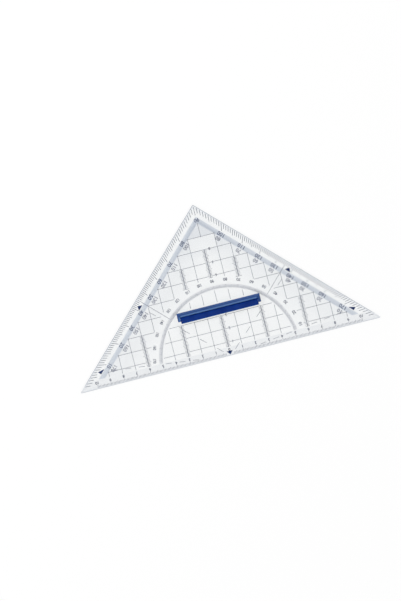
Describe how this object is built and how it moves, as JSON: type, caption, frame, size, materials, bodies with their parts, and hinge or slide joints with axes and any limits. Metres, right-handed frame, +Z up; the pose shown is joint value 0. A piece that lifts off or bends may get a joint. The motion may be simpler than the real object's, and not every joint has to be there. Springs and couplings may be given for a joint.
{
  "type": "set square with folding grip",
  "caption": "Clear right-angled set square with printed centimetre and degree scales and a plug-in blue handle whose grip leaf folds up on a hinge pin.",
  "frame": {"origin": "zero mark at the middle of the hypotenuse, on the guide edge at the underside of the plate", "axes": "+X along the hypotenuse, +Y towards the right-angled corner, +Z up from the paper"},
  "size_m": [0.2264, 0.1138, 0.0054],
  "materials": {
    "clear_acrylic": "clear polished",
    "black_ink": "screen print",
    "blue_ink": "screen print",
    "grey_tint": "screen print",
    "blue_tint": "screen print",
    "blue_plastic": "moulded satin",
    "steel": "drawn wire"
  },
  "bodies": {
    "set_square": {"set_square_plate": "clear_acrylic", "grid_lines": "black_ink", "millimetre_ticks": "black_ink", "degree_ticks": "black_ink", "protractor_ticks": "black_ink", "protractor_band": "grey_tint", "leg_bands": "blue_tint", "pointer_marks": "blue_ink"},
    "handle": {"handle_rail": "blue_plastic", "hinge_pin": "steel"},
    "grip": {"grip_leaf": "blue_plastic"}
  },
  "joints": [
    {"name": "handle_pull", "type": "slide", "parent": "set_square", "child": "handle", "axis": [0, 0, 1], "range_m": [0, 0.015]},
    {"name": "grip_fold", "type": "hinge", "parent": "handle", "child": "grip", "pos_m": [0, 0.03475, 0.0038], "axis": [-1, 0, 0], "range_deg": [0, 110]}
  ]
}
